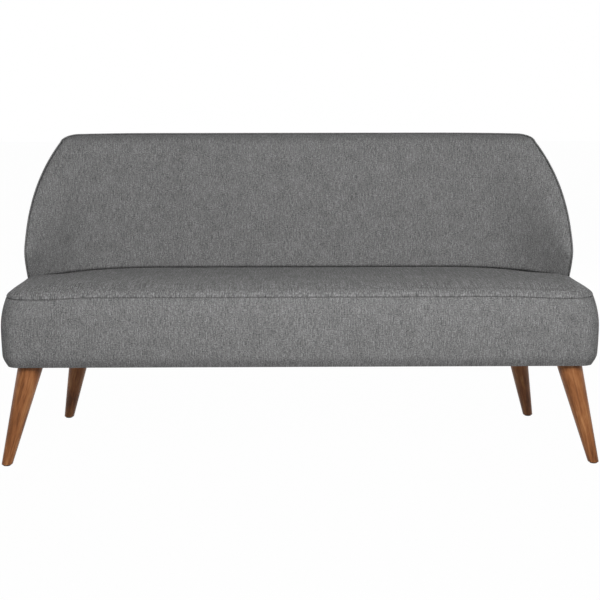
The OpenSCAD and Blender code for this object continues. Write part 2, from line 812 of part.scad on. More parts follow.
module back_foam() {
    color(foam_colour)
        placed()
            back_layer(both_sides(stations_to(foam_end)), 0, last_foam, inner_foam);
}

module back_wadding() {
    color("#f2f2ee")
        placed()
            back_layer(both_sides(stations_to(foam_end)), 0, last_foam, inner_wadding);
}

module inside_back_cover() {
    color(fabric)
        placed()
            back_layer(both_sides(half_stations), 0, last, inner_cover);
}

module outside_back_cover() {
    color(fabric)
        placed()
            back_layer(both_sides(half_stations), first_outer, last, outer_cover);
}

// Welt along the edge: up one wing, along the top and down the other
welt_levels = [for (k = [first_outer : last]) max(levels[k], seam_z + 2 * welt_r + 2 * gap)];
welt_path = concat(
    [for (z = welt_levels) [-q_end(z), z]],
    [for (u = both_sides(stations_to(foam_end))) [u * q_end(edge_top_z), edge_top_z]],
    [for (i = [len(welt_levels) - 1 : -1 : 0]) [q_end(welt_levels[i]), welt_levels[i]]]);
welt_points = [for (w = welt_path) back_point(w[0], w[1], [0.5, 0])];
function unit(v) = v / norm(v);
function tangent(i) = unit(
    welt_points[min(i + 1, len(welt_points) - 1)] - welt_points[max(i - 1, 0)]);
module back_welt() {
    color(fabric)
        placed()
            loft([for (i = [0 : len(welt_points) - 1]) let (
                n = plan_normal(welt_path[i][0], seam_in),
                t = tangent(i),
                side = unit(cross(t, [n.x, n.y, 0])),
                out = unit(cross(side, t)),
                middle = welt_points[i] + side * (welt_r + gap))
                [for (a = [0 : 60 : 300]) middle + (out * cos(a) + side * sin(a)) * welt_r]]);
}

leg(0);  // front_left_leg
leg(1);  // front_right_leg
leg(2);  // rear_left_leg
leg(3);  // rear_right_leg
foot_pads();
leg_bolts();
tee_nuts();
leg_blocks();
front_rail();
rear_rail();
side_rail(-1);  // left_rail
side_rail(1);  // right_rail
corner_rail(-1);  // left_corner_rail
corner_rail(1);  // right_corner_rail
cross_rails();
rear_ledger();
webbing_crosswise();
webbing_lengthwise();
seat_foam();
seat_wadding();
seat_border_foam();
seat_top_cover();
seat_border_cover();
seat_welt();
dust_cover();
back_bottom_rib();
back_middle_rib();
back_top_rib();
back_lower_posts();
back_upper_posts();
wing_panel(-1);  // left_wing_panel
wing_panel(1);  // right_wing_panel
inside_back_board();
outside_back_board();
back_foam();
back_wadding();
inside_back_cover();
outside_back_cover();
back_welt();
back_bolts();
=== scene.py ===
import json
import math

import bpy
from mathutils import Matrix, Vector, noise


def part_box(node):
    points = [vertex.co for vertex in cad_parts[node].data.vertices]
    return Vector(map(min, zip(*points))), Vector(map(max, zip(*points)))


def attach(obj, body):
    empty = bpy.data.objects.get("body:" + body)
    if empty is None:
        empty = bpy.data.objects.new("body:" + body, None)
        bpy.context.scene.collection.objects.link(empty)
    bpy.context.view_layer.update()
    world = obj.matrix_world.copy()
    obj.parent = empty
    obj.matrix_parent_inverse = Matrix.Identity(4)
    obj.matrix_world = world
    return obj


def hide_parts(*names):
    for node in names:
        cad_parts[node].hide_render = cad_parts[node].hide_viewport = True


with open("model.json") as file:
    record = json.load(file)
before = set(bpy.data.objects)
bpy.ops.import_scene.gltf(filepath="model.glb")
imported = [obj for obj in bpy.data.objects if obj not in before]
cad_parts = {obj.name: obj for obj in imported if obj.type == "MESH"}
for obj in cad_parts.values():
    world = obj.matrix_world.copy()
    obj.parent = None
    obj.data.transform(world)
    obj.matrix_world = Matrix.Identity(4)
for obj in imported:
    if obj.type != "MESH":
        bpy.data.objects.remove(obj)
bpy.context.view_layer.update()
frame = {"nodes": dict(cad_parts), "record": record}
bpy.ops.object.select_all(action="DESELECT")
print("sofa: frame loaded,", len(frame["nodes"]), "nodes")

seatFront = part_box("seat_border_cover")[0].y  # the depth is counted from the seat's front face


# ---- small helpers

def toLinear(hexColour):
    parts = [int(hexColour[i:i + 2], 16) / 255 for i in (1, 3, 5)]
    return tuple(c / 12.92 if c <= 0.04045 else ((c + 0.055) / 1.055) ** 2.4 for c in parts) + (1.0,)


def addNode(tree, kind, settings=None, links=None):
    node = tree.nodes.new(kind)
    for key, value in (settings or {}).items():
        if isinstance(key, int) or key in node.inputs:
            node.inputs[key].default_value = value
        else:
            setattr(node, key, value)
    for key, source in (links or {}).items():
        tree.links.new(source, node.inputs[key])
    return node


def newMaterial(name):
    material = bpy.data.materials.new(name)
    material.use_nodes = True
    material.node_tree.nodes.clear()
    return material, material.node_tree


def addRamp(tree, source, stops):
    ramp = addNode(tree, "ShaderNodeValToRGB", {}, {"Fac": source})
    elements = ramp.color_ramp.elements
    while len(elements) < len(stops):
        elements.new(0.5)
    for element, (place, colour) in zip(elements, stops):
        element.position = place
        element.color = toLinear(colour)
    return ramp


def finishMaterial(tree, shader):
    addNode(tree, "ShaderNodeOutputMaterial", {}, {"Surface": shader.outputs[0]})


def setMaterial(piece, material):
    piece.data.materials.clear()
    piece.data.materials.append(material)


def clamp(value, low=0.0, high=1.0):
    return max(low, min(high, value))


def applyModifiers(piece):
    bpy.context.view_layer.objects.active = piece
    piece.select_set(True)
    for modifier in list(piece.modifiers):
        bpy.ops.object.modifier_apply(modifier=modifier.name)
    bpy.ops.object.select_all(action="DESELECT")


# ---- materials

fabricLook = {
    "dark": "#525252", "base": "#797979", "light": "#9f9f9f",
    # mm, each drawn about twice as coarse as the real yarn so that it shows
    "grain": (3.0, 3.3), "warp": (2.7, 11.0), "weft": (8.0, 2.8), "slub": (2.6, 30.0), "mottle": (45.0, 60.0),
    "bump": 0.0012,
}


def wovenPolyester(name, look):
    # Plain-woven polyester upholstery with uneven yarn: matt, hardly any sheen, short upright slubs
    material, tree = newMaterial(name)
    place = addNode(tree, "ShaderNodeTexCoord").outputs["UV"]

    def streaks(size, detail, shift):
        mapped = addNode(tree, "ShaderNodeMapping",
                         {"Scale": (1000 / size[0], 1000 / size[1], 1), "Location": (shift, shift, 0)},
                         {"Vector": place})
        return addNode(tree, "ShaderNodeTexNoise",
                       {"noise_dimensions": "2D", "Scale": 1.0, "Detail": detail, "Roughness": 0.6},
                       {"Vector": mapped.outputs["Vector"]}).outputs["Fac"]

    def blended(share, one, other):
        mixed = addNode(tree, "ShaderNodeMix", {"data_type": "FLOAT", "Factor": share}, {2: one, 3: other})
        return mixed.outputs[0]

    threads = blended(0.45, streaks(look["warp"], 2.0, 3.7), streaks(look["weft"], 2.0, 9.1))
    cloth = blended(0.5, threads, streaks(look["grain"], 2.0, 17.3))
    slubbed = blended(0.2, cloth, streaks(look["slub"], 1.0, 29.9))
    uneven = blended(0.07, slubbed, streaks(look["mottle"], 2.0, 41.3))
    colour = addRamp(tree, uneven, [(0.36, look["dark"]), (0.5, look["base"]), (0.64, look["light"])])
    bump = addNode(tree, "ShaderNodeBump", {"Strength": 0.5, "Distance": look["bump"]}, {"Height": slubbed})
    shader = addNode(tree, "ShaderNodeBsdfPrincipled",
                     {"Roughness": 0.95, "IOR": 1.45, "Specular IOR Level": 0.15,
                      "Sheen Weight": 0.04, "Sheen Roughness": 0.5},
                     {"Base Color": colour.outputs["Color"], "Normal": bump.outputs["Normal"]})
    finishMaterial(tree, shader)
    return material


woodLook = {
    "deep": "#4f2b14", "base": "#915b35", "warm": "#ba8253",
    "ring": 9.0, "fibre": 1.4, "fibreLength": 60.0, "blotch": 55.0,  # mm
}


def stainedWalnut(name, look, axis):
    # Turned hardwood, walnut stain under satin lacquer: long grain, warm blotches, a narrow soft highlight
    material, tree = newMaterial(name)
    place = addNode(tree, "ShaderNodeTexCoord").outputs["Object"]
    turn = Vector((0, 0, 1)).rotation_difference(Vector(axis)).inverted().to_euler()
    upright = addNode(tree, "ShaderNodeMapping", {"Rotation": tuple(turn)}, {"Vector": place})

    def grain(width, length, detail, distortion):
        mapped = addNode(tree, "ShaderNodeMapping",
                         {"Scale": (1000 / width, 1000 / width, 1000 / length)},
                         {"Vector": upright.outputs["Vector"]})
        return addNode(tree, "ShaderNodeTexNoise",
                       {"Scale": 1.0, "Detail": detail, "Roughness": 0.55, "Distortion": distortion},
                       {"Vector": mapped.outputs["Vector"]}).outputs["Fac"]

    rings = grain(look["ring"], look["ring"] * 22, 3.0, 0.6)
    fibres = grain(look["fibre"], look["fibreLength"], 2.0, 0.0)
    blotches = grain(look["blotch"], look["blotch"] * 2, 2.0, 0.3)
    figure = addNode(tree, "ShaderNodeMix", {"data_type": "FLOAT", "Factor": 0.32}, {2: rings, 3: fibres})
    stain = addNode(tree, "ShaderNodeMix", {"data_type": "FLOAT", "Factor": 0.35},
                    {2: figure.outputs[0], 3: blotches})
    colour = addRamp(tree, stain.outputs[0],
                     [(0.34, look["deep"]), (0.5, look["base"]), (0.66, look["warm"])])
    bump = addNode(tree, "ShaderNodeBump", {"Strength": 0.12, "Distance": 0.0004}, {"Height": fibres})
    shader = addNode(tree, "ShaderNodeBsdfPrincipled",
                     {"Roughness": 0.38, "IOR": 1.45, "Specular IOR Level": 0.22},
                     {"Base Color": colour.outputs["Color"], "Normal": bump.outputs["Normal"]})
    finishMaterial(tree, shader)
    return material


def speckled(name, dark, light, grainSize, roughness, stretch=(1, 1, 1), bumpDepth=0.0004, metallic=0.0):
    # Plain shop-floor stuff inside and under the sofa: grain of one size between two tones
    material, tree = newMaterial(name)
    place = addNode(tree, "ShaderNodeTexCoord").outputs["Object"]
    scale = tuple(1000 / grainSize / s for s in stretch)
    mapped = addNode(tree, "ShaderNodeMapping", {"Scale": scale}, {"Vector": place})
    grain = addNode(tree, "ShaderNodeTexNoise", {"Scale": 1.0, "Detail": 3.0, "Roughness": 0.6},
                    {"Vector": mapped.outputs["Vector"]})
    colour = addRamp(tree, grain.outputs["Fac"], [(0.36, dark), (0.64, light)])
    bump = addNode(tree, "ShaderNodeBump", {"Strength": 0.3, "Distance": bumpDepth},
                   {"Height": grain.outputs["Fac"]})
    shader = addNode(tree, "ShaderNodeBsdfPrincipled", {"Roughness": roughness, "Metallic": metallic},
                     {"Base Color": colour.outputs["Color"], "Normal": bump.outputs["Normal"]})
    finishMaterial(tree, shader)
    return material


greyCloth = wovenPolyester("greyWovenPolyester", fabricLook)
# on the seat the slubs lie along the depth, and are drawn longer because they are seen end on; the wider
# spread of its dark and light tones is painted light and shade, standing in for the stronger shading that low
# light raking across the top gives the weave
seatLook = dict(fabricLook, dark="#4a4a4a", light="#a8a8a8",
                grain=(2.8, 11.0), warp=(2.6, 45.0), weft=(9.0, 9.0), slub=(2.6, 140.0))
seatCloth = wovenPolyester("greySeatPolyester", seatLook)
plainStuff = {
    "felt": speckled("needledFelt", "#232323", "#333333", 1.2, 0.95),  # needled: soft, no shine
    "steel": speckled("zincPlatedSteel", "#9a9c9e", "#b4b6b8", 6, 0.35, metallic=1.0),  # dull zinc
    "frame_wood": speckled("sawnBeech", "#c29a6c", "#d9b88c", 2.0, 0.7, stretch=(20, 3, 3)),  # no finish
    "hardboard": speckled("pressedHardboard", "#7c5a3a", "#94704a", 1.5, 0.75),  # pressed fibre, no grain
    "foam": speckled("cutPolyurethaneFoam", "#d9d0ae", "#efe8cc", 1.6, 0.95, bumpDepth=0.001),  # open cells
    "wadding": speckled("polyesterWadding", "#dcdcd6", "#f4f4f0", 5, 0.98, bumpDepth=0.002),  # loose fibre
    "webbing": speckled("elasticWebbing", "#26262a", "#3c3c42", 2.4, 0.85, stretch=(1, 4, 1)),  # ribbed
    "dust_cloth": speckled("spunbondDustCloth", "#17171a", "#2a2a2d", 1.8, 0.9),  # bonded fibre, no weave
}
slotOf = {part["node"]: part["material_slot"] for part in frame["record"]["subparts"]}
for nodeName in frame["nodes"]:
    node = bpy.data.objects[nodeName]
    if slotOf[nodeName] in plainStuff:
        setMaterial(node, plainStuff[slotOf[nodeName]])
print("sofa: materials made")


# ---- shape of the seat, in metres, counted from the seat's front face

seat = {
    "halfWidth": 0.807, "depth": 0.64, "bottom": 0.2663, "boxHeight": 0.1897, "fullHeight": 0.0907,
    # the border: in at the seam and at the lower roll, whose reach is how far in the flat part starts
    "seamIn": 0.012, "borderPower": 2.4, "lowIn": 0.0015,
    "lowerRadius": 0.030, "lowerReach": 0.0135, "lowerPower": 1.5, "hem": 0.022,
    "edgeRise": 0.0225, "rearRise": 0.014, "rollRadius": 0.050, "rollTurn": 60,  # the top panel's soft edge
    "ridge": 0.082, "ridgeHeight": 0.0265, "frontSlope": 0.35, "rearSlope": -0.052, "ridgeTurn": 0.025,
    "sideIn": 0.025, "sideHeight": 0.0205, "sideSlope": 0.20,
    "cornerRadius": 0.048, "seamCornerRadius": 0.066, "rearFlat": 0.437, "rearCornerDepth": 0.313,
    "dip": 0.006, "dipWidth": 0.25, "dipFull": 0.11,
    "rearRoll": 0.014, "rearEdge": 0.0065, "tuck": 0.026, "tuckBack": 0.007, "ledge": 0.006,
    "railTop": 0.3785, "padBottom": 0.3834, "padInset": 0.0058, "borderInside": 0.017,
    "coverThickness": 0.0012, "weltRadius": 0.002, "gap": 0.0003,
    "turnIn": 0.0045,  # how far both cloths turn in at the seam
    "swell": 0.004, "uneven": 0.0007, "wave": 0.11,  # stuffing and the slight unevenness of pulled cloth
}
seamZ = seat["bottom"] + seat["boxHeight"]
fullZ = seat["bottom"] + seat["fullHeight"]
cornerWidth = seat["halfWidth"] - seat["rearFlat"]
seamEase = seat["seamCornerRadius"] + seat["seamIn"] - seat["cornerRadius"]
smallestTurn = 0.004

back = {
    "top": 0.867, "outerLean": 8, "innerLean": 12, "thickness": 0.094, "wing": 0.070, "wingLength": 0.300,
    "edge": 0.005, "lip": 0.0018, "sideRoll": 0.130, "sidePower": 1.6, "topRoll": 0.036, "rollPower": 2.3,
    "noseY": 0.305, "noseHeight": 0.079, "noseTurn": 0.030, "footY": 0.341, "foot": 0.3971,
    "shoulderY": 0.561, "shoulderHeight": 0.019, "shoulderWidth": 0.044, "shoulderPower": 1.8,
    # room for the inner board, and close rows of points where the pad turns into the crease
    "boardGap": 0.0004, "boardRoom": 0.0056, "boardStart": 0.02, "boardBlend": 0.014,
    "creaseFoot": 0.002, "creaseRows": 8, "creaseStep": 0.0022, "creaseRise": 0.004, "creaseTurn": 0.012,
    "swell": 0.003, "uneven": 0.0008, "wave": 0.13,
    "seamPlace": 1.2,  # the two upright seams of the outside cloth
    "ridgeHigh": 0.0011, "ridgeAway": 0.0032, "ridgeWide": 0.0019,  # the cloth stands up beside them
}
legShape = {
    "frontFoot": (0.797, 0.0), "rearFoot": (0.714, 0.485), "splay": (0.062, 0.065),
    "footRadius": 0.014, "topRadius": 0.0335, "top": 0.2636, "floor": 0.003, "edgeRound": 0.0018,
}
edgeTop = back["top"] - 2 * seat["weltRadius"] - seat["gap"]
noseZ = seamZ + back["noseHeight"]
shoulderZ = edgeTop - back["shoulderHeight"]
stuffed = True


def planX(q, inset):
    turn = math.radians(90 * clamp(abs(q) - 1))
    x = seat["rearFlat"] * min(abs(q), 1) + (cornerWidth - inset) * math.sin(turn)
    return math.copysign(x, q)


def planY(q, inset):
    turn = math.radians(90 * clamp(abs(q) - 1))
    corner = (seat["rearCornerDepth"] - inset) * (1 - math.cos(turn))
    return seat["depth"] - inset - corner - back["wingLength"] * max(0, abs(q) - 2)


def planPoint(q):
    return Vector((planX(q, seat["seamIn"]), planY(q, seat["seamIn"])))


def planNormal(q, inset):
    turn = math.radians(90 * clamp(abs(q) - 1))
    normal = Vector((math.sin(turn) / (cornerWidth - inset),
                     math.cos(turn) / (seat["rearCornerDepth"] - inset))).normalized()
    return Vector((math.copysign(normal.x, q), normal.y))


def leanShift(z):
    return (z - seamZ) * math.tan(math.radians(back["outerLean"]))


def rounding(share, power):
    return max(0.0, 1 - clamp(share) ** power) ** (1 / power)


def smooth(share):
    share = clamp(share)
    return share * share * (3 - 2 * share)


def pastTurn(distance):
    return math.hypot(distance, back["noseTurn"]) - back["noseTurn"]


def edgeY(z):
    # the wings' front edge falls back above and below its foremost point
    if z < noseZ:
        share = pastTurn(noseZ - max(z, seamZ)) / pastTurn(back["noseHeight"])
        return back["noseY"] + (back["footY"] - back["noseY"]) * share
    share = pastTurn(z - noseZ) / pastTurn(shoulderZ - noseZ)
    return back["noseY"] + (back["shoulderY"] - back["noseY"]) * share


def placeAtY(y, z):
    rear = seat["depth"] - seat["seamIn"] + leanShift(z)
    corner = seat["rearCornerDepth"] - seat["seamIn"]
    if y < rear - corner:
        return 2 + (rear - corner - y) / back["wingLength"]
    return 1 + math.degrees(math.acos(clamp(1 - (rear - y) / corner, -1, 1))) / 90


def placeAtX(x):
    return 1 + math.degrees(math.asin((x - seat["rearFlat"]) / (cornerWidth - seat["seamIn"]))) / 90


shoulderX = planX(placeAtY(back["shoulderY"], shoulderZ), seat["seamIn"])


def endPlace(z):
    if z < shoulderZ:
        return placeAtY(edgeY(z), z)
    share = rounding((z - shoulderZ) / back["shoulderHeight"], back["shoulderPower"])
    return placeAtX(shoulderX - back["shoulderWidth"] * (1 - share))


def backThickness(q, z):
    lean = math.tan(math.radians(back["innerLean"])) - math.tan(math.radians(back["outerLean"]))
    middle = back["thickness"] - (z - seamZ) * lean
    share = 0.5 + 0.5 * math.cos(math.pi * clamp(abs(q) - 1))
    return back["wing"] + (middle - back["wing"]) * share


def nearEdge(q, z):
    return (planPoint(endPlace(z)) - planPoint(abs(q))).length


def rollShare(q, z):
    # 1 over the full face, down to 0 along the rolled edges of the wings and the top
    side = rounding(1 - nearEdge(q, z) / back["sideRoll"], back["sidePower"])
    return side * rounding(1 - (edgeTop - z) / back["topRoll"], back["rollPower"])


def backPoint(q, z, share, offset):
    # share 0 is the outer face of the back and 1 the inner one, offset goes from the outside in
    full = rollShare(q, z)
    outer = (back["edge"] - back["lip"]) * (1 - full)
    inner = back["edge"] + back["lip"] + (backThickness(q, z) - back["edge"] - back["lip"]) * full
    deep = outer + (inner - outer) * share + offset
    normal = planNormal(q, seat["seamIn"])
    return Vector((planX(q, seat["seamIn"]) - normal.x * deep,
                   planY(q, seat["seamIn"]) + leanShift(z) - normal.y * deep, z))


def cornerEase(z):
    return seamEase * clamp((z - seat["railTop"]) / (seamZ - seat["railTop"])) ** 1.6


def frontHalf(inset, ease, last):
    # plan points from the middle of the front round one front corner and along the side
    centre = max(seat["cornerRadius"] + ease, inset + smallestTurn)
    points = [((seat["halfWidth"] - seat["dipFull"]) * i / 40, inset) for i in range(41)]
    for i in range(15):
        turn = math.radians(90 * i / 14)
        points.append((seat["halfWidth"] - centre + (centre - inset) * math.sin(turn),
                       centre - (centre - inset) * math.cos(turn)))
    start = seat["seamCornerRadius"] + seat["seamIn"]
    side = [(seat["halfWidth"] - inset, start + (last - start) * i / 12) for i in range(1, 13)]
    return points + side


def dipped(x, y, z):
    # the seam and the cloth below it sink a little towards the two front corners
    height = clamp((z - fullZ) / (seamZ - fullZ)) ** 2
    across = smooth((abs(x) - seat["halfWidth"] + seat["dipWidth"]) / (seat["dipWidth"] - seat["dipFull"]))
    return Vector((x, y, z - seat["dip"] * height * across * clamp(1 - y / seat["depth"]) ** 3))


def mirrored(half):
    # a closed ring from the half that starts at the middle of the front and ends at the middle of the
    # rear, turned so that it starts and ends at the rear, where the cloth's own join is out of sight
    ring = half + [Vector((-p.x, p.y, p.z)) for p in half[-2:0:-1]]
    turned = len(half) - 1
    return ring[turned:] + ring[:turned]


footPlace = placeAtY(back["footY"] - 3 * seat["weltRadius"] - 2 * seat["gap"], seamZ)
sideEnd = min(seat["depth"] - seat["rearCornerDepth"], planY(footPlace, seat["seamIn"]) - smallestTurn)


def boxRing(inset, z):
    half = [dipped(x, y, z) for x, y in frontHalf(inset, cornerEase(z), sideEnd)]
    half += [dipped(planX(q, inset), planY(q, inset), z)
             for q in (footPlace + (1 - footPlace) * i / 26 for i in range(27))]
    half += [dipped(planX(q, inset), planY(q, inset), z) for q in (1 - i / 14 for i in range(1, 15))]
    return mirrored(half)


def edgeRise(y):
    # the top panel's edge stands highest round the front corners
    return seat["edgeRise"] + (seat["rearRise"] - seat["edgeRise"]) * smooth((y - 0.10) / 0.22)


def topHalf(frontInset, lift, rearInset, rearZ, footLift=0.0):
    # plan of the top panel: the box at the front and the sides, the back's face at the rear
    sideX = seat["halfWidth"] - frontInset
    footX, footY = planX(footPlace, frontInset), planY(footPlace, frontInset)
    y = footY - max(rearInset, 0)
    x = sideX + (footX - sideX) * clamp((y - sideEnd) / (footY - sideEnd))
    half = [dipped(px, py, seamZ + lift * edgeRise(py))
            for px, py in frontHalf(frontInset, seamEase, min(sideEnd, y - smallestTurn))]
    start = 0.995
    while backPoint(start * endPlace(rearZ), rearZ, 1, 3 * seat["gap"] + rearInset).x > x - seat["ledge"]:
        start -= 0.001
    inner = [backPoint(u * endPlace(rearZ), rearZ, 1, 3 * seat["gap"] + rearInset)
             for u in (start * (1 - i / 60) for i in range(61))]
    frontZ = seamZ + lift * edgeRise(y)
    for p in inner:  # towards the wing's foot it rises to the height of the panel's side
        p.z += (frontZ - rearZ) * footLift * (1 - smooth((p.y - y) / 0.12))
    half += [dipped(x, y, frontZ), dipped(x - seat["ledge"], y, frontZ), Vector((inner[0].x, y, inner[0].z))]
    return mirrored(half + inner)


def topRing(turn):
    # ring of the top panel's soft edge: at 0 degrees it stands on the seam
    angle = math.radians(turn)
    share = math.sin(angle) / math.sin(math.radians(seat["rollTurn"]))
    return topHalf(seat["seamIn"] + seat["rollRadius"] * (1 - math.cos(angle)), math.sin(angle),
                   seat["rearRoll"] * (1 - math.cos(angle)) * 2 - seat["tuckBack"] * (1 - share),
                   seamZ - seat["tuck"] + (seat["tuck"] + seat["rearEdge"]) * share, share ** 3)


def unevenness(p, size, wave):
    return size * noise.noise(Vector(p) / wave)


def softLower(one, other, turn):
    # the lower of two heights, with a soft turn where they cross
    return (one + other) / 2 - math.hypot((one - other) / 2, turn)


def topHeight(x, y):
    # the panel climbs from the front edge to a soft ridge and falls gently to the back
    behind = y - seat["ridge"]
    middle = (seat["frontSlope"] + seat["rearSlope"]) / 2
    turn = (seat["frontSlope"] - seat["rearSlope"]) / 2
    height = seat["ridgeHeight"] + middle * behind
    height -= turn * (math.hypot(behind, seat["ridgeTurn"]) - seat["ridgeTurn"])
    inwards = seat["halfWidth"] - seat["seamIn"] - seat["sideIn"] - abs(x)
    side = seat["sideHeight"] + seat["sideSlope"] * inwards
    return seamZ + softLower(height, side, 0.001)


def innerRing(edge, share, swell):
    middleY = (seat["depth"] - back["thickness"]) / 2
    own = smooth((share - 0.86) / 0.14)
    ring = []
    for p in edge:
        point = Vector((p.x * share, middleY + (p.y - middleY) * share, 0))
        point.z = p.z * own + (topHeight(point.x, point.y) - swell * (1 - share ** 3)) * (1 - own)
        point.z += unevenness(point, seat["uneven"], seat["wave"]) * (1 - share ** 4)
        ring.append(point)
    return ring


def makeSkin(name, rows, uvs, material, thickness=0.0, closed=False, pins=None):
    # cloth from rows of points: a grid is laid down, its points are pulled into place and doubles merged
    bpy.ops.mesh.primitive_grid_add(x_subdivisions=len(rows[0]) - 1, y_subdivisions=len(rows) - 1, size=1)
    piece = bpy.context.active_object
    piece.name = name
    piece.data.name = name
    flat = [p for row in rows for p in row]
    for vertex, p in zip(piece.data.vertices, flat):
        vertex.co = (p.x, p.y + seatFront, p.z)
    flatUvs = [uv for row in uvs for uv in row]
    layer = piece.data.uv_layers.active.data
    for loop in piece.data.loops:
        layer[loop.index].uv = flatUvs[loop.vertex_index]
    if pins:
        held = piece.vertex_groups.new(name="held")
        for index, weight in enumerate(w for row in pins for w in row):
            held.add([index], weight, "REPLACE")
    bpy.ops.object.mode_set(mode="EDIT")
    bpy.ops.mesh.select_all(action="SELECT")
    bpy.ops.mesh.remove_doubles(threshold=0.00001)
    bpy.ops.mesh.dissolve_degenerate(threshold=0.000005)
    if closed:
        bpy.ops.mesh.select_all(action="SELECT")
        bpy.ops.mesh.normals_make_consistent(inside=False)
    bpy.ops.object.mode_set(mode="OBJECT")
    if thickness:
        solid = piece.modifiers.new("clothThickness", "SOLIDIFY")
        solid.thickness = thickness
        solid.offset = -1
        applyModifiers(piece)
    piece.select_set(True)
    bpy.context.view_layer.objects.active = piece
    bpy.ops.object.shade_smooth()
    bpy.ops.object.select_all(action="DESELECT")
    setMaterial(piece, material)
    return piece


def stuff(piece, pressure, cap):
    # cloth simulation: the skin swells between its held edges, then the largest move is brought to the cap
    start = [vertex.co.copy() for vertex in piece.data.vertices]
    cloth = piece.modifiers.new("stuffing", "CLOTH")
    cloth.settings.quality = 5
    cloth.settings.vertex_group_mass = "held"
    cloth.settings.use_pressure = True
    cloth.settings.uniform_pressure_force = pressure
    cloth.settings.effector_weights.gravity = 0
    cloth.collision_settings.use_collision = False
    cloth.point_cache.frame_start = 1
    cloth.point_cache.frame_end = 20
    for step in range(cloth.point_cache.frame_start, cloth.point_cache.frame_end + 1):
        bpy.context.scene.frame_set(step)
    applyModifiers(piece)
    moves = [vertex.co - p for vertex, p in zip(piece.data.vertices, start)]
    largest = max(move.length for move in moves)
    for vertex, p, move in zip(piece.data.vertices, start, moves):
        vertex.co = p + move * (cap / largest)
    bpy.context.scene.frame_set(1)
    print("sofa:", piece.name, "swelled by", round(largest * 1000, 1), "mm, kept", cap * 1000, "mm")


def dropPins(piece):
    if "held" in piece.vertex_groups:
        piece.vertex_groups.remove(piece.vertex_groups["held"])


def closedRows(rings):
    return [ring + [ring[0]] for ring in rings]


def runLengths(points):
    total, lengths = 0.0, [0.0]
    for a, b in zip(points, points[1:]):
        total += (b - a).length
        lengths.append(total)
    return lengths


# ---- seat: border, top panel and the sewn seam between them

def borderProfile():
    radius, thick = seat["lowerRadius"], seat["coverThickness"]
    profile = [(radius + seat["hem"] * (1 - i / 3), seat["bottom"]) for i in range(3)]
    # flat under the rails, whose lower corner the cloth is drawn over, then a roll up to the full width
    reach = seat["lowerReach"]
    profile += [(radius, seat["bottom"]), (reach + seat["lowIn"] - 0.0004, seat["bottom"])]
    for i in range(1, 11):
        share = (i / 10) ** 1.6
        profile.append((seat["lowIn"] + reach * (1 - share) ** seat["lowerPower"],
                        seat["bottom"] + radius * share))
    low = seat["bottom"] + radius
    high = seamZ - seat["gap"] - seat["turnIn"]
    for i in range(1, 19):
        z = low + (high - low) * i / 18
        inset = seat["seamIn"] * clamp((z - fullZ) / (seamZ - fullZ)) ** seat["borderPower"]
        profile.append((inset + seat["lowIn"] * clamp((fullZ - z) / (fullZ - low)) ** 2, z))
    edge = profile[-1][0]
    for i in range(1, 7):
        turn = math.radians(90 * i / 6)
        profile.append((edge + seat["turnIn"] * (1 - math.cos(turn)), high + seat["turnIn"] * math.sin(turn)))
    outerCount = len(profile)
    inside = seat["borderInside"]
    profile += [(inside, seamZ - 0.002), (inside, seat["railTop"]), (inside, seat["bottom"] + 0.05)]
    lowest = math.degrees(math.asin((radius - inside) / (radius - thick)))
    for i in range(9):
        turn = math.radians(lowest * (1 - i / 8))
        profile.append((radius - (radius - thick) * math.sin(turn),
                        seat["bottom"] + radius - (radius - thick) * math.cos(turn)))
    profile.append((radius + seat["hem"], seat["bottom"] + thick))
    return profile, outerCount


profile, outerCount = borderProfile()


def borderRing(inset, z, outer):
    ring = boxRing(inset, z)
    if not outer:
        return ring
    free = smooth((z - seat["bottom"] - 0.01) / 0.05) * smooth((seamZ - z) / 0.02)
    return [Vector((p.x * (1 + k), p.y - k * 0.4, p.z)) for p, k in
            ((p, unevenness(p, seat["uneven"], seat["wave"]) * free) for p in ring)]


borderRings = [borderRing(inset, z, i < outerCount) for i, (inset, z) in enumerate(profile)]
around = runLengths(closedRows([boxRing(0, fullZ)])[0])
upwards = runLengths([Vector((0, inset, z)) for inset, z in profile + profile[:1]])
borderRows = closedRows(borderRings + borderRings[:1])
borderUvs = [[(along - around[-1] / 2, up) for along in around] for up in upwards]
seatBorder = makeSkin("seatBorder", borderRows, borderUvs, greyCloth, closed=True)
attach(seatBorder, "root")
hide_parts("seat_border_cover", "seat_border_foam")

rollTurns = [seat["rollTurn"] * i / 9 for i in range(10)]
rollRings = [topRing(turn) for turn in rollTurns]
turnedIn = topHalf(seat["seamIn"] + seat["turnIn"], 0.01, -seat["tuckBack"], seamZ - seat["tuck"])
lifted = [Vector((p.x, p.y, p.z + seat["turnIn"] * 0.35)) for p in topRing(3)]
padSide = topHalf(seat["seamIn"] + seat["padInset"], -0.05, seat["padInset"], back["foot"])
padFloor = [Vector((p.x, p.y, seat["padBottom"])) for p in padSide]
padMiddle = [Vector((0, (seat["depth"] - back["thickness"]) / 2, seat["padBottom"]))] * len(padFloor)
shares = [1 - i / 40 for i in range(1, 12)] + [0.70 - i / 20 for i in range(14)] + [0.015, 0.0]
swellRoom = seat["swell"] if stuffed else 0.0
topRings = [padMiddle, padFloor, padSide, turnedIn, lifted] + rollRings[1:]
edgeCount = len(topRings)
topRings += [innerRing(rollRings[9], share, swellRoom) for share in shares]
topPins = [[1.0] * (len(topRings[0]) + 1)] * edgeCount
topPins += [[1 - smooth((1 - share) / 0.3)] * (len(topRings[0]) + 1) for share in shares]
ridgeTop = seamZ + seat["ridgeHeight"]
topUvs = [[(p.x, p.y - (ridgeTop - p.z)) for p in row] for row in closedRows(topRings)]
seatTop = makeSkin("seatTop", closedRows(topRings), topUvs, seatCloth, closed=True, pins=topPins)
if stuffed:
    stuff(seatTop, 4.0, seat["swell"])
dropPins(seatTop)
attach(seatTop, "root")
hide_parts("seat_top_cover", "seat_wadding", "seat_foam")


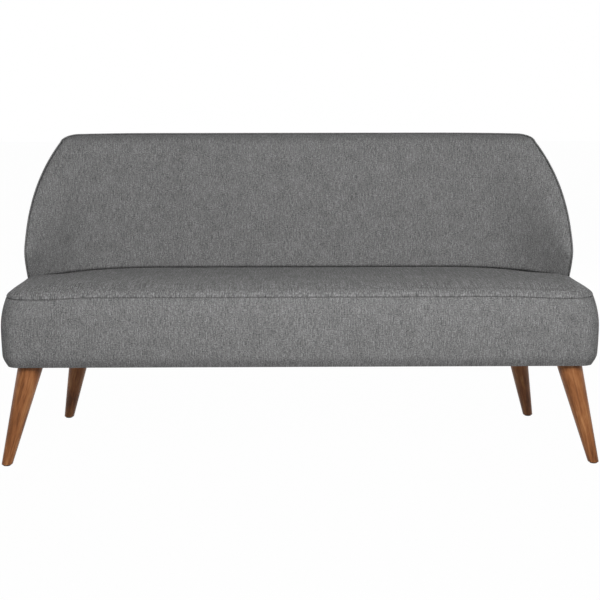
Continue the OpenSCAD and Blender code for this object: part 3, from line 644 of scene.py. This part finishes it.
def cordAround(name, path, sideways, outwards, radii, closed, material):
    # a covered cord: a ring of points is carried along the seam
    sides = 8
    rows = []
    for p, side, out, radius in zip(path, sideways, outwards, radii):
        turns = [math.tau * i / sides for i in range(sides + 1)]
        rows.append([p + (out * math.cos(turn) + side * math.sin(turn)) * radius for turn in turns])
    if closed:
        rows.append(rows[0])
    else:
        rows = [[path[0]] * (sides + 1)] + rows + [[path[-1]] * (sides + 1)]
    along = runLengths([sum(row[:-1], Vector()) / sides for row in rows])
    uvs = [[(length, i * 0.002) for i in range(sides + 1)] for length in along]
    return makeSkin(name, rows, uvs, material, closed=True)


def evenly(points, pitch):
    # the same line with a point about every pitch
    lengths = runLengths(points)
    count = round(lengths[-1] / pitch)
    line, j = [], 0
    for i in range(count):
        target = lengths[-1] * i / count
        while lengths[j + 1] < target:
            j += 1
        share = (target - lengths[j]) / (lengths[j + 1] - lengths[j])
        line.append(points[j].lerp(points[j + 1], share))
    return line


# the seam's cord shows as a thin line between the two cloths, drawn in at each stitch
seam = {"radius": 0.0012, "inset": 0.0165, "stitch": 0.0075, "drawnIn": 0.45, "steps": 4}
seamLine = closedRows([boxRing(seam["inset"], seamZ)])[0]
seamPath = evenly(seamLine, seam["stitch"] / seam["steps"])
seamOut = []
for i, p in enumerate(seamPath):
    along = (seamPath[(i + 1) % len(seamPath)] - seamPath[i - 1]).normalized()
    seamOut.append(along.cross(Vector((0, 0, 1))).normalized())
seamRadii = [seam["radius"] * (1 - seam["drawnIn"] * (i % seam["steps"] == 0)) for i in range(len(seamPath))]
seamUp = [Vector((0, 0, 1))] * len(seamPath)
seatWelt = cordAround("seatWelt", seamPath, seamUp, seamOut, seamRadii, True, greyCloth)
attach(seatWelt, "root")
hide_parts("seat_welt")
print("sofa: seat made")


# ---- underside: black cloth stretched over the frame and stapled round its edge

underside = {
    "inset": 0.049, "top": 0.2647, "thickness": 0.0008,
    "rings": (1.0, 0.97, 0.9, 0.8, 0.65, 0.5, 0.35, 0.2, 0.08, 0.0),  # shares of the cloth's edge line
    "sag": 0.003, "sagEnd": 0.64, "sagBlend": 0.4,  # it hangs a little between the legs, not beside them
}
staple = {
    "inset": 0.060, "pitch": 0.045, "clearOfLegs": 0.052,
    "crown": (0.0115, 0.0010, 0.0007), "edge": 0.0002,
}
middleY = seat["depth"] / 2


def clothRing(share):
    ring = []
    for p in boxRing(underside["inset"], underside["top"]):
        x, y = p.x * share, middleY + (p.y - middleY) * share
        between = smooth((underside["sagEnd"] - abs(x)) / underside["sagBlend"])
        ring.append(Vector((x, y, p.z - underside["sag"] * between * (1 - share ** 2))))
    return ring


clothRows = closedRows([clothRing(share) for share in underside["rings"]])
clothUvs = [[(p.x, p.y) for p in row] for row in clothRows]
dustCloth = makeSkin("dustCloth", clothRows, clothUvs, plainStuff["dust_cloth"],
                     thickness=underside["thickness"])
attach(dustCloth, "root")
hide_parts("dust_cover")

bpy.ops.mesh.primitive_cube_add(size=1)
firstStaple = bpy.context.active_object
firstStaple.data.transform(Matrix.Diagonal((*staple["crown"], 1)))
bpy.ops.object.mode_set(mode="EDIT")
bpy.ops.mesh.select_all(action="SELECT")
bpy.ops.mesh.bevel(offset=staple["edge"], segments=1, affect="EDGES")
bpy.ops.object.mode_set(mode="OBJECT")
stapleRing = closedRows([boxRing(staple["inset"], underside["top"] - underside["thickness"])])[0]
stapleLine = evenly(stapleRing, staple["pitch"])
legTops = [(legShape["frontFoot"][0] - legShape["splay"][0], legShape["frontFoot"][1] + legShape["splay"][1]),
           (legShape["rearFoot"][0] - legShape["splay"][0], legShape["rearFoot"][1] - legShape["splay"][1])]
copies = []
for i, p in enumerate(stapleLine):
    along = stapleLine[(i + 1) % len(stapleLine)] - stapleLine[i - 1]
    if min(math.hypot(abs(p.x) - x, p.y - y) for x, y in legTops) < staple["clearOfLegs"]:
        continue
    copy = firstStaple.copy()
    copy.data = firstStaple.data.copy()
    bpy.context.collection.objects.link(copy)
    turn = Matrix.Rotation(math.atan2(along.y, along.x), 4, "Z")
    place = Matrix.Translation((p.x, p.y + seatFront, p.z - staple["crown"][2] / 4))
    copy.data.transform(place @ turn)
    copies.append(copy)
bpy.ops.object.select_all(action="DESELECT")
firstStaple.select_set(True)
bpy.ops.object.delete()
for copy in copies:
    copy.select_set(True)
bpy.context.view_layer.objects.active = copies[0]
bpy.ops.object.join()
staples = bpy.context.active_object
staples.name = "undersideStaples"
staples.data.name = staples.name
bpy.ops.object.select_all(action="DESELECT")
setMaterial(staples, plainStuff["steel"])
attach(staples, "root")
print("sofa: underside made,", len(copies), "staples")


# ---- back: inside and outside cloth and the covered cord round its edge

rollSteps = [1 - i / 18 for i in range(19)]  # the roll's height, from its full face to its edge


def rollReach(full, power):
    # how far from the edge the roll has this height, as a share of its width
    return 1 - (1 - full ** power) ** (1 / power)


def rollPlaces(z):
    end = endPlace(z)
    perPlace = (planPoint(end) - planPoint(end - 0.02)).length / 0.02
    reaches = [1.15] + [rollReach(full, back["sidePower"]) for full in rollSteps]
    return [end - back["sideRoll"] * reach / perPlace for reach in reaches]


def innerPlaces(z):
    roll = rollPlaces(z)
    half = [roll[0] * i / 40 for i in range(40)] + roll
    return [-q for q in half[:0:-1]] + half


def outerPlaces(z):
    roll = rollPlaces(z)
    low, high = back["seamPlace"] - 0.016, back["seamPlace"] + 0.016
    half = [low * i / 16 for i in range(16)] + [low + (high - low) * i / 16 for i in range(16)]
    half += [high + (roll[0] - high) * i / 18 for i in range(18)] + roll
    return [-q for q in half[:0:-1]] + half


def backHeights(low):
    reaches = [1.2] + [rollReach(full, back["rollPower"]) for full in rollSteps]
    roll = [edgeTop - back["topRoll"] * reach for reach in reaches]
    return [low + (roll[0] - low) * i / 30 for i in range(30)] + roll


def backUvs(rows):
    middle = len(rows[0]) // 2
    upwards = runLengths([row[middle] for row in rows])
    uvs = []
    for row, up in zip(rows, upwards):
        along = runLengths(row)
        uvs.append([(length - along[middle], up) for length in along])
    return uvs


def freeFace(q, z):
    # 0 along the edges and in the crease, 1 over the open face
    return smooth((min(nearEdge(q, z), edgeTop - z, z - seamZ - 0.01) - 0.02) / 0.09)


def innerFace(q, z):
    swell = back["swell"] if stuffed else 0.0
    rough = unevenness((planX(q, 0), planY(q, 0), z), back["uneven"], back["wave"])
    low = clamp((seamZ + back["creaseRise"] + back["creaseTurn"] - z) / back["creaseTurn"])
    drawn = back["creaseTurn"] * (1 - math.sqrt(1 - low * low)) * smooth((nearEdge(q, z) - 0.01) / 0.06)
    return backPoint(q, z, 1, (rough - swell) * freeFace(q, z) - drawn)


def boardOffset(q, z):
    # the pad's rear stands clear of the inner board, but for its edges
    inwards = min(nearEdge(q, z), edgeTop - z) - back["boardStart"]
    return back["boardGap"] + back["boardRoom"] * smooth(inwards / back["boardBlend"])


crease = seamZ + back["creaseFoot"]
innerHeights = [back["foot"] + (crease - back["foot"]) * i / 5 for i in range(5)]
innerHeights += [crease + back["creaseStep"] * i for i in range(back["creaseRows"])]
innerHeights += backHeights(crease + back["creaseStep"] * back["creaseRows"])
innerRows = [[innerFace(q, z) for q in reversed(innerPlaces(z))] for z in innerHeights]
behindRows = []
for z in reversed(innerHeights[:-1]):
    row = [backPoint(q, z, 0.5, boardOffset(q, z)) for q in reversed(innerPlaces(z))]
    front = innerRows[innerHeights.index(z)]
    behindRows.append([front[0]] + row[1:-1] + [front[-1]])
innerPins = [[1 - freeFace(q, z) for q in reversed(innerPlaces(z))] for z in innerHeights]
innerPins += [[1.0] * len(innerRows[0])] * (len(behindRows) + 1)
padRows = innerRows + behindRows + innerRows[:1]
insideBack = makeSkin("insideBack", padRows, backUvs(padRows), greyCloth, closed=True, pins=innerPins)
if stuffed:
    stuff(insideBack, 4.0, back["swell"])
dropPins(insideBack)
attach(insideBack, "root")
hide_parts("inside_back_cover", "back_wadding", "back_foam")


def sewnRidge(q):
    # cloth stands up a little on both sides of the two upright seams behind
    distance = (abs(q) - back["seamPlace"]) * 0.565  # metres of cloth to one unit of place there
    return -back["ridgeHigh"] * math.exp(-((abs(distance) - back["ridgeAway"]) / back["ridgeWide"]) ** 2)


# the first row hangs just below the board's lower edge and hides it
outerHeights = [seamZ + 0.0006] + backHeights(seamZ + seat["weltRadius"])
outerRows = [[backPoint(q, z, 0, sewnRidge(q)) for q in outerPlaces(z)] for z in outerHeights]
outsideBack = makeSkin("outsideBack", outerRows, backUvs(outerRows), greyCloth,
                       thickness=seat["coverThickness"])
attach(outsideBack, "root")
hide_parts("outside_back_cover")

weltHeights = backHeights(seamZ + 2 * seat["weltRadius"] + 2 * seat["gap"])
weltPlaces = [(-endPlace(z), z) for z in weltHeights]
weltPlaces += [(endPlace(edgeTop) * (i / 30 - 1), edgeTop) for i in range(1, 60)]
weltPlaces += [(endPlace(z), z) for z in reversed(weltHeights)]
rim = [backPoint(q, z, 0.5, 0) for q, z in weltPlaces]
sideways, outwards, weltLine = [], [], []
for i, (q, z) in enumerate(weltPlaces):
    along = (rim[min(i + 1, len(rim) - 1)] - rim[max(i - 1, 0)]).normalized()
    normal = planNormal(q, seat["seamIn"])
    side = along.cross(Vector((normal.x, normal.y, 0))).normalized()
    sideways.append(side)
    outwards.append(side.cross(along).normalized())
    weltLine.append(rim[i] + side * (seat["weltRadius"] + seat["gap"]))
weltRadii = [seat["weltRadius"]] * len(rim)
backWelt = cordAround("backWelt", weltLine, sideways, outwards, weltRadii, False, greyCloth)
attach(backWelt, "root")
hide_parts("back_welt")
print("sofa: back made")


# ---- legs: turned, cut level at both ends, the foot's edge rounded over

def turnedLeg(node, side, foot, way):
    low = Vector((side * foot[0], foot[1] + seatFront, 0))
    high = Vector((side * (foot[0] - legShape["splay"][0]), foot[1] - way * legShape["splay"][1] + seatFront,
                   legShape["top"]))
    axis = (high - low).normalized()
    length = (high - low).length
    spare = 0.03
    slope = (legShape["topRadius"] - legShape["footRadius"]) / length
    bpy.ops.mesh.primitive_cone_add(vertices=72, radius1=legShape["footRadius"] - slope * spare,
                                    radius2=legShape["topRadius"] + slope * spare,
                                    depth=length + 2 * spare, end_fill_type="NGON")
    piece = bpy.context.active_object
    piece.name = node + "Turned"
    piece.data.name = piece.name
    turn = Vector((0, 0, 1)).rotation_difference(axis).to_matrix().to_4x4()
    piece.data.transform(Matrix.Translation((low + high) / 2) @ turn)
    bpy.ops.object.mode_set(mode="EDIT")
    for height, keepAbove in ((legShape["top"], False), (legShape["floor"], True)):
        bpy.ops.mesh.select_all(action="SELECT")
        bpy.ops.mesh.bisect(plane_co=(low.x, low.y, height), plane_no=(0, 0, 1), use_fill=True,
                            clear_inner=keepAbove, clear_outer=not keepAbove)
    bpy.ops.mesh.select_all(action="DESELECT")
    bpy.ops.object.mode_set(mode="OBJECT")
    for edge in piece.data.edges:
        ends = [piece.data.vertices[i].co.z for i in edge.vertices]
        edge.select = max(abs(z - legShape["floor"]) for z in ends) < 0.00001
    bpy.ops.object.mode_set(mode="EDIT")
    bpy.ops.mesh.bevel(offset=legShape["edgeRound"], segments=4, profile=0.5, affect="EDGES")
    bpy.ops.mesh.select_all(action="SELECT")
    bpy.ops.mesh.normals_make_consistent(inside=False)
    bpy.ops.object.mode_set(mode="OBJECT")
    bpy.ops.object.shade_smooth_by_angle(angle=math.radians(50))
    bpy.ops.object.select_all(action="DESELECT")
    setMaterial(piece, stainedWalnut(node + "Walnut", woodLook, axis))
    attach(piece, "root")
    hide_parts(node)


turnedLeg("front_left_leg", -1, legShape["frontFoot"], -1)
turnedLeg("front_right_leg", 1, legShape["frontFoot"], -1)
turnedLeg("rear_left_leg", -1, legShape["rearFoot"], 1)
turnedLeg("rear_right_leg", 1, legShape["rearFoot"], 1)
print("sofa: legs turned")


# ---- camera, floor and light

view = {
    "distance": 3.147, "height": 1.004, "down": 0.1737, "turn": 0.0121, "roll": -0.0011, "side": -0.0023,
    "lens": 36 * 1205 / 600,
}
sinTurn, cosTurn = math.sin(view["turn"]), math.cos(view["turn"])
sinDown, cosDown = math.sin(view["down"]), math.cos(view["down"])
forward = Vector((sinTurn * cosDown, cosTurn * cosDown, -sinDown))
right = Vector((cosTurn, -sinTurn, 0))
up = right.cross(forward)
aim = Matrix((right, up, -forward)).transposed()
aim = aim @ Matrix.Rotation(view["roll"], 3, "Z")
eye = (view["side"] * cosTurn - view["distance"] * sinTurn,
       seatFront - view["side"] * sinTurn - view["distance"] * cosTurn, view["height"])
bpy.ops.object.camera_add(location=eye, rotation=aim.to_euler())
camera = bpy.context.active_object
camera.name = "photoCamera"
camera.data.sensor_width = 36
camera.data.lens = view["lens"]
bpy.context.scene.camera = camera


def showWhite(tree, shader, share):
    # seen straight, or in a reflection, the floor and the world are white; as light they stay as they are
    rays = addNode(tree, "ShaderNodeLightPath")
    seen = addNode(tree, "ShaderNodeMath", {"operation": "MAXIMUM"},
                   {0: rays.outputs["Is Camera Ray"], 1: rays.outputs["Is Glossy Ray"]})
    seen = addNode(tree, "ShaderNodeMath", {"operation": "MAXIMUM"},
                   {0: seen.outputs[0], 1: rays.outputs["Is Transmission Ray"]})
    amount = addNode(tree, "ShaderNodeMath", {"operation": "MULTIPLY", 1: share}, {0: seen.outputs[0]})
    kind = "ShaderNodeBackground" if shader.bl_idname == "ShaderNodeBackground" else "ShaderNodeEmission"
    white = addNode(tree, kind, {"Color": (1, 1, 1, 1), "Strength": 1.0})
    return addNode(tree, "ShaderNodeMixShader", {},
                   {0: amount.outputs[0], 1: shader.outputs[0], 2: white.outputs[0]})


world = bpy.data.worlds.new("whiteStudio")
bpy.context.scene.world = world
world.use_nodes = True
world.node_tree.nodes.clear()
soft = addNode(world.node_tree, "ShaderNodeBackground", {"Color": (1, 1, 1, 1), "Strength": 0.06})
addNode(world.node_tree, "ShaderNodeOutputWorld", {},
        {"Surface": showWhite(world.node_tree, soft, 1.0).outputs[0]})

bpy.ops.mesh.primitive_plane_add(size=40, location=(0, 0, 0))
floor = bpy.context.active_object
floor.name = "studioFloor"
paper, tree = newMaterial("whitePaperFloor")
matt = addNode(tree, "ShaderNodeBsdfPrincipled", {"Base Color": (0.42, 0.42, 0.42, 1), "Roughness": 0.9})
finishMaterial(tree, showWhite(tree, matt, 0.985))
setMaterial(floor, paper)

lamps = [
    # name, place, size, watts
    ("keySoftbox", (0.3, -2.35, 1.86), (2.4, 1.0), 66),
    ("lowSoftbox", (0.2, -3.0, 1.2), (2.4, 1.0), 7),
    ("topRearSoftbox", (0.2, 2.9, 3.05), (2.6, 0.45), 5),
    ("leftSoftbox", (-3.6, 0.5, 1.2), (1.6, 1.4), 15),
    ("rightSoftbox", (3.6, 0.5, 1.2), (1.6, 1.4), 5),
    ("rearSoftbox", (0.6, 3.4, 1.3), (2.4, 1.2), 75),
]
for lampName, spot, size, power in lamps:
    bpy.ops.object.light_add(type="AREA", location=spot)
    lamp = bpy.context.active_object
    lamp.name = lampName
    lamp.data.shape = "RECTANGLE"
    lamp.data.size, lamp.data.size_y = size
    lamp.data.energy = power
    target = Vector((0, 0, 0.45))
    lamp.rotation_euler = (target - lamp.location).to_track_quat("-Z", "Y").to_euler()
bpy.ops.object.select_all(action="DESELECT")
bpy.context.scene.view_settings.view_transform = "Standard"
print("sofa: camera and light set")
